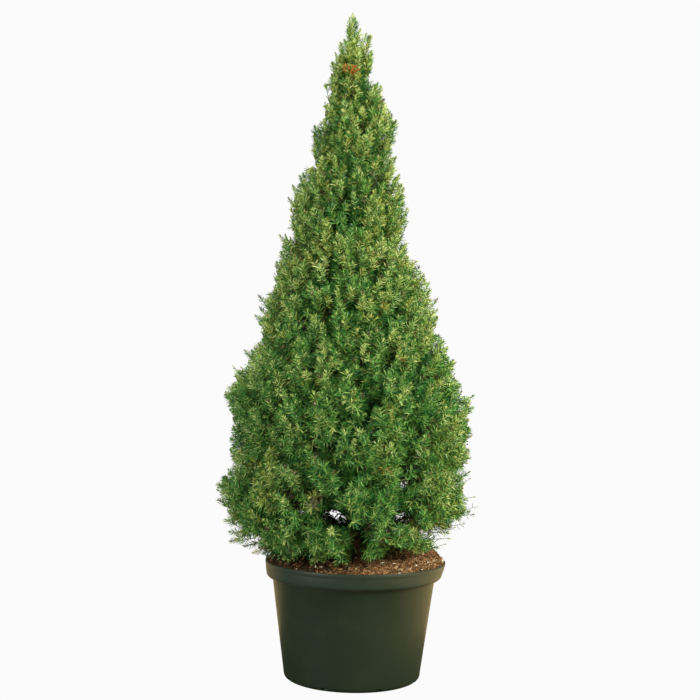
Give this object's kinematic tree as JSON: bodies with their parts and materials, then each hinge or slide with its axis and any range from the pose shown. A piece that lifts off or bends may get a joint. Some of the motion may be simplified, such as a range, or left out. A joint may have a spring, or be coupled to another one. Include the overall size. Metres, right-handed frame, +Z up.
{
  "type": "potted dwarf alberta spruce",
  "caption": "Dwarf conical spruce with dense short needles on a single leaning trunk, growing in a round nursery pot of bark mix.",
  "frame": {"origin": "centre of the pot's flat underside", "axes": "+Z up the plant towards its tip, +X to the viewer's right, the viewer on the -Y side"},
  "size_m": [0.4059, 0.3901, 1.035],
  "materials": {
    "pot_plastic": "dark green-black moulded nursery plastic, satin",
    "potting_mix": "red-brown bark and coir crumbs with a few pale specks",
    "bark": "grey-brown scaly bark",
    "foliage": "matte green needles, lighter at the tips"
  },
  "bodies": {
    "root": {"leader_mass_1": "foliage", "lower_mass_1": "foliage", "lower_mass_2": "foliage", "lower_mass_3": "foliage", "lower_mass_4": "foliage", "lower_mass_5": "foliage", "lower_mass_6": "foliage", "middle_mass_1": "foliage", "middle_mass_2": "foliage", "middle_mass_3": "foliage", "middle_mass_4": "foliage", "middle_mass_5": "foliage", "middle_mass_6": "foliage", "pot": "pot_plastic", "potting_mix": "potting_mix", "shoulder_mass_1": "foliage", "shoulder_mass_2": "foliage", "shoulder_mass_3": "foliage", "shoulder_mass_4": "foliage", "shoulder_mass_5": "foliage", "skirt_bough_1": "bark", "skirt_bough_2": "bark", "skirt_bough_3": "bark", "skirt_bough_4": "bark", "skirt_bough_5": "bark", "skirt_bough_6": "bark", "skirt_bough_7": "bark", "skirt_mass_1": "foliage", "skirt_mass_2": "foliage", "skirt_mass_3": "foliage", "skirt_mass_4": "foliage", "skirt_mass_5": "foliage", "skirt_mass_6": "foliage", "skirt_mass_7": "foliage", "spire_mass_1": "foliage", "spire_mass_2": "foliage", "spire_mass_3": "foliage", "top_mass_1": "foliage", "top_mass_2": "foliage", "top_mass_3": "foliage", "trunk": "bark", "upper_mass_1": "foliage", "upper_mass_2": "foliage", "upper_mass_3": "foliage", "upper_mass_4": "foliage", "upper_mass_5": "foliage"}
  },
  "joints": []
}
